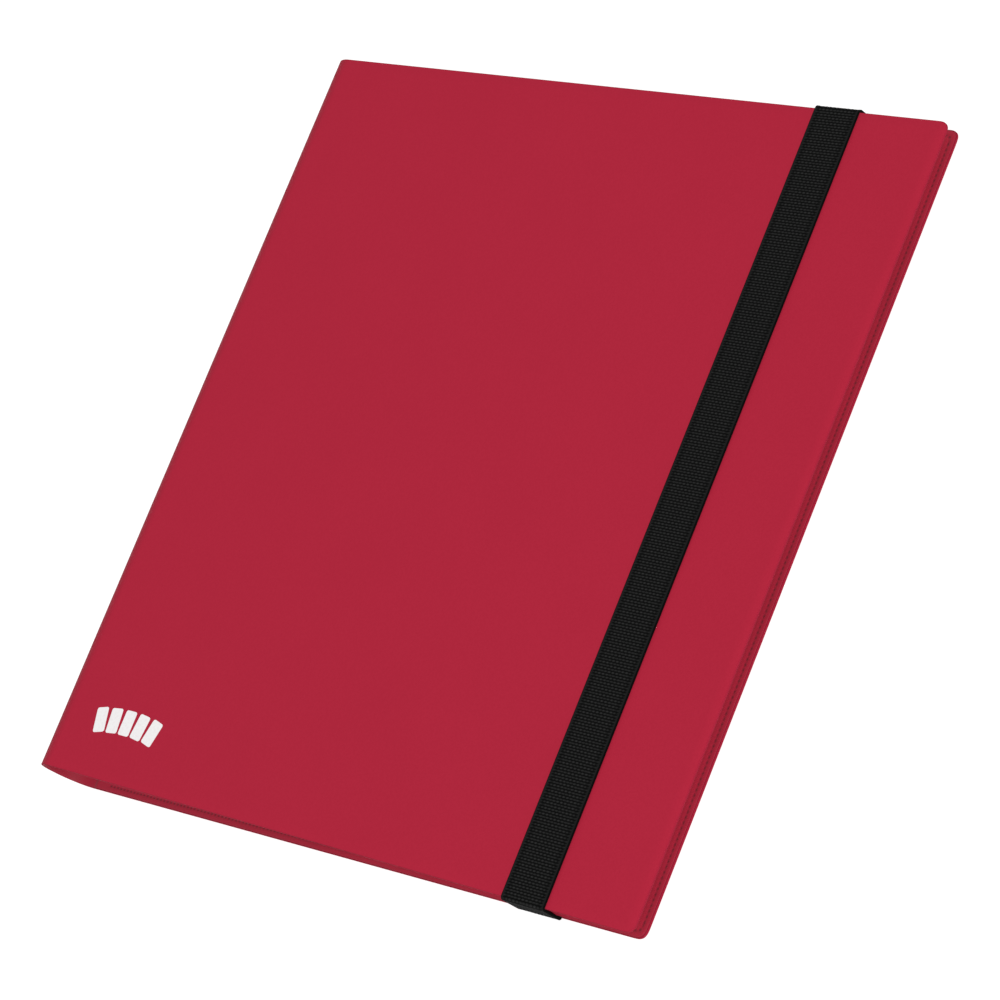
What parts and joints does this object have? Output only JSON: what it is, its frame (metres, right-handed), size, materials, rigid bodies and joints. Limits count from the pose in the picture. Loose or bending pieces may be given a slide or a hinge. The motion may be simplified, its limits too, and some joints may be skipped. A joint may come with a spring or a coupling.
{
  "type": "trading card binder",
  "caption": "Square soft-cover folio with pocket pages bound into a rounded spine and a flat elastic strap that holds it shut.",
  "frame": {"origin": "centre of the closed binder's outline, on the flat outer face of the back cover", "axes": "+X from the spine to the free edge, +Y from the tail to the head of the covers, +Z from the back cover up through the front cover"},
  "size_m": [0.308, 0.3056, 0.025],
  "materials": {
    "cover_skin": "fine matte grain, red",
    "cover_liner": "fine woven lining, dark red",
    "cover_board": "grey stiffening sheet",
    "binding": "black welded page stubs",
    "page": "clear embossed film over a black core",
    "strap": "black ribbed elastic webbing"
  },
  "bodies": {
    "back_cover": {"back_skin": "cover_skin", "back_board": "cover_board", "back_liner": "cover_liner", "back_fold": "cover_skin", "strap_end_head": "strap", "strap_end_tail": "strap"},
    "spine": {"spine_skin": "cover_skin", "binding_block": "binding"},
    "front_cover": {"front_fold": "cover_skin", "front_skin": "cover_skin", "front_board": "cover_board", "front_liner": "cover_liner"},
    "page_01": {"page_01": "page"},
    "page_02": {"page_02": "page"},
    "page_03": {"page_03": "page"},
    "page_04": {"page_04": "page"},
    "page_05": {"page_05": "page"},
    "page_06": {"page_06": "page"},
    "page_07": {"page_07": "page"},
    "page_08": {"page_08": "page"},
    "page_09": {"page_09": "page"},
    "page_10": {"page_10": "page"},
    "page_11": {"page_11": "page"},
    "page_12": {"page_12": "page"},
    "page_13": {"page_13": "page"},
    "page_14": {"page_14": "page"},
    "page_15": {"page_15": "page"},
    "page_16": {"page_16": "page"},
    "page_17": {"page_17": "page"},
    "page_18": {"page_18": "page"},
    "page_19": {"page_19": "page"},
    "page_20": {"page_20": "page"},
    "strap": {"strap_band": "strap"}
  },
  "joints": [
    {"name": "spine_fold", "type": "hinge", "parent": "back_cover", "child": "spine", "pos_m": [-0.15103, 0, 0.00297], "axis": [0, -1, 0], "range_deg": [0, 90], "deforming": ["back_fold", "front_fold"]},
    {"name": "cover_fold", "type": "hinge", "parent": "spine", "child": "front_cover", "pos_m": [-0.15118, 0, 0.02263], "axis": [0, -1, 0], "range_deg": [0, 93.37]},
    {"name": "page_01_turn", "type": "hinge", "parent": "spine", "child": "page_01", "pos_m": [-0.145, 0, 0.0027], "axis": [0, -1, 0], "range_deg": [-91.26, 0]},
    {"name": "page_02_turn", "type": "hinge", "parent": "spine", "child": "page_02", "pos_m": [-0.1447, 0, 0.00374], "axis": [0, -1, 0], "range_deg": [-91.1, 0]},
    {"name": "page_03_turn", "type": "hinge", "parent": "spine", "child": "page_03", "pos_m": [-0.1444, 0, 0.00477], "axis": [0, -1, 0], "range_deg": [-90.95, 0]},
    {"name": "page_04_turn", "type": "hinge", "parent": "spine", "child": "page_04", "pos_m": [-0.1441, 0, 0.00581], "axis": [0, -1, 0], "range_deg": [-90.79, 0]},
    {"name": "page_05_turn", "type": "hinge", "parent": "spine", "child": "page_05", "pos_m": [-0.1438, 0, 0.00685], "axis": [0, -1, 0], "range_deg": [-90.64, 0]},
    {"name": "page_06_turn", "type": "hinge", "parent": "spine", "child": "page_06", "pos_m": [-0.1435, 0, 0.00788], "axis": [0, -1, 0], "range_deg": [-90.48, 0]},
    {"name": "page_07_turn", "type": "hinge", "parent": "spine", "child": "page_07", "pos_m": [-0.1432, 0, 0.00892], "axis": [0, -1, 0], "range_deg": [-90.33, 0]},
    {"name": "page_08_turn", "type": "hinge", "parent": "spine", "child": "page_08", "pos_m": [-0.1429, 0, 0.00996], "axis": [0, -1, 0], "range_deg": [-90.18, 0]},
    {"name": "page_09_turn", "type": "hinge", "parent": "spine", "child": "page_09", "pos_m": [-0.1426, 0, 0.01099], "axis": [0, -1, 0], "range_deg": [-90.02, 0]},
    {"name": "page_10_turn", "type": "hinge", "parent": "spine", "child": "page_10", "pos_m": [-0.1423, 0, 0.01203], "axis": [0, -1, 0], "range_deg": [-89.87, 0]},
    {"name": "page_11_turn", "type": "hinge", "parent": "spine", "child": "page_11", "pos_m": [-0.1423, 0, 0.01307], "axis": [0, -1, 0], "range_deg": [0, 93.28]},
    {"name": "page_12_turn", "type": "hinge", "parent": "spine", "child": "page_12", "pos_m": [-0.1426, 0, 0.01411], "axis": [0, -1, 0], "range_deg": [0, 93.44]},
    {"name": "page_13_turn", "type": "hinge", "parent": "spine", "child": "page_13", "pos_m": [-0.1429, 0, 0.01514], "axis": [0, -1, 0], "range_deg": [0, 93.59]},
    {"name": "page_14_turn", "type": "hinge", "parent": "spine", "child": "page_14", "pos_m": [-0.1432, 0, 0.01618], "axis": [0, -1, 0], "range_deg": [0, 93.75]},
    {"name": "page_15_turn", "type": "hinge", "parent": "spine", "child": "page_15", "pos_m": [-0.1435, 0, 0.01722], "axis": [0, -1, 0], "range_deg": [0, 93.9]},
    {"name": "page_16_turn", "type": "hinge", "parent": "spine", "child": "page_16", "pos_m": [-0.1438, 0, 0.01825], "axis": [0, -1, 0], "range_deg": [0, 94.05]},
    {"name": "page_17_turn", "type": "hinge", "parent": "spine", "child": "page_17", "pos_m": [-0.1441, 0, 0.01929], "axis": [0, -1, 0], "range_deg": [0, 94.21]},
    {"name": "page_18_turn", "type": "hinge", "parent": "spine", "child": "page_18", "pos_m": [-0.1444, 0, 0.02033], "axis": [0, -1, 0], "range_deg": [0, 94.36]},
    {"name": "page_19_turn", "type": "hinge", "parent": "spine", "child": "page_19", "pos_m": [-0.1447, 0, 0.02136], "axis": [0, -1, 0], "range_deg": [0, 94.52]},
    {"name": "page_20_turn", "type": "hinge", "parent": "spine", "child": "page_20", "pos_m": [-0.145, 0, 0.0224], "axis": [0, -1, 0], "range_deg": [0, 94.67]},
    {"name": "strap_release", "type": "slide", "parent": "back_cover", "child": "strap", "axis": [0, 0, -1], "range_m": [0, 0.0125], "deforming": ["strap_band"]}
  ],
  "couplings": [
    {"joint": "cover_fold", "follows": "spine_fold", "ratio": 1.0374},
    {"joint": "page_01_turn", "follows": "spine_fold", "ratio": -1.0139},
    {"joint": "page_02_turn", "follows": "spine_fold", "ratio": -1.0122},
    {"joint": "page_03_turn", "follows": "spine_fold", "ratio": -1.0105},
    {"joint": "page_04_turn", "follows": "spine_fold", "ratio": -1.0088},
    {"joint": "page_05_turn", "follows": "spine_fold", "ratio": -1.0071},
    {"joint": "page_06_turn", "follows": "spine_fold", "ratio": -1.0054},
    {"joint": "page_07_turn", "follows": "spine_fold", "ratio": -1.0037},
    {"joint": "page_08_turn", "follows": "spine_fold", "ratio": -1.0019},
    {"joint": "page_09_turn", "follows": "spine_fold", "ratio": -1.0002},
    {"joint": "page_10_turn", "follows": "spine_fold", "ratio": -0.99853},
    {"joint": "page_11_turn", "follows": "spine_fold", "ratio": 1.0365},
    {"joint": "page_12_turn", "follows": "spine_fold", "ratio": 1.0382},
    {"joint": "page_13_turn", "follows": "spine_fold", "ratio": 1.0399},
    {"joint": "page_14_turn", "follows": "spine_fold", "ratio": 1.0416},
    {"joint": "page_15_turn", "follows": "spine_fold", "ratio": 1.0433},
    {"joint": "page_16_turn", "follows": "spine_fold", "ratio": 1.045},
    {"joint": "page_17_turn", "follows": "spine_fold", "ratio": 1.0467},
    {"joint": "page_18_turn", "follows": "spine_fold", "ratio": 1.0485},
    {"joint": "page_19_turn", "follows": "spine_fold", "ratio": 1.0502},
    {"joint": "page_20_turn", "follows": "spine_fold", "ratio": 1.0519}
  ]
}
